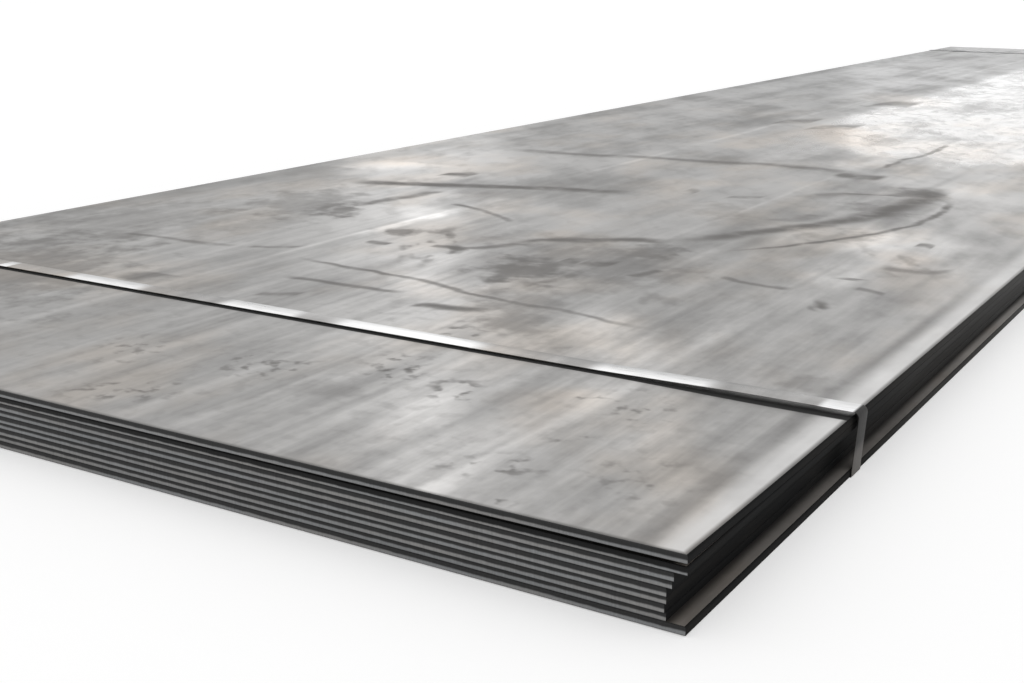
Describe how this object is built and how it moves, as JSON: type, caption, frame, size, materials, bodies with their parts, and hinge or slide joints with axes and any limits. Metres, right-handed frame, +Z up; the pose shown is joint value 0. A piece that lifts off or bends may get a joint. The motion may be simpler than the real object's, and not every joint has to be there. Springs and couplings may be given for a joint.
{
  "type": "steel plate bundle",
  "caption": "Flat stack of hot-rolled steel plates with sheared edges, held together near each end by a steel band and its seal: raw stock for cutting and fabrication.",
  "frame": {"origin": "bottom centre of the whole bundle, on the level floor that its bands rest on", "axes": "+X across the plates, +Y along them, away from the end that the picture shows nearest, +Z up"},
  "size_m": [1.8292, 8.0024, 0.0795],
  "materials": {
    "plate_steel": "hot-rolled grey with mill scale, worn streaks and handling marks",
    "band_steel": "bright cold-rolled strip",
    "seal_steel": "zinc-plated folded sheet"
  },
  "bodies": {
    "root": {"top_plate": "plate_steel", "plate_2": "plate_steel", "plate_3": "plate_steel", "plate_4": "plate_steel", "plate_5": "plate_steel", "plate_6": "plate_steel", "plate_7": "plate_steel", "plate_8": "plate_steel", "bottom_plate": "plate_steel", "front_band": "band_steel", "rear_band": "band_steel", "front_band_seal": "seal_steel", "rear_band_seal": "seal_steel"}
  },
  "joints": []
}
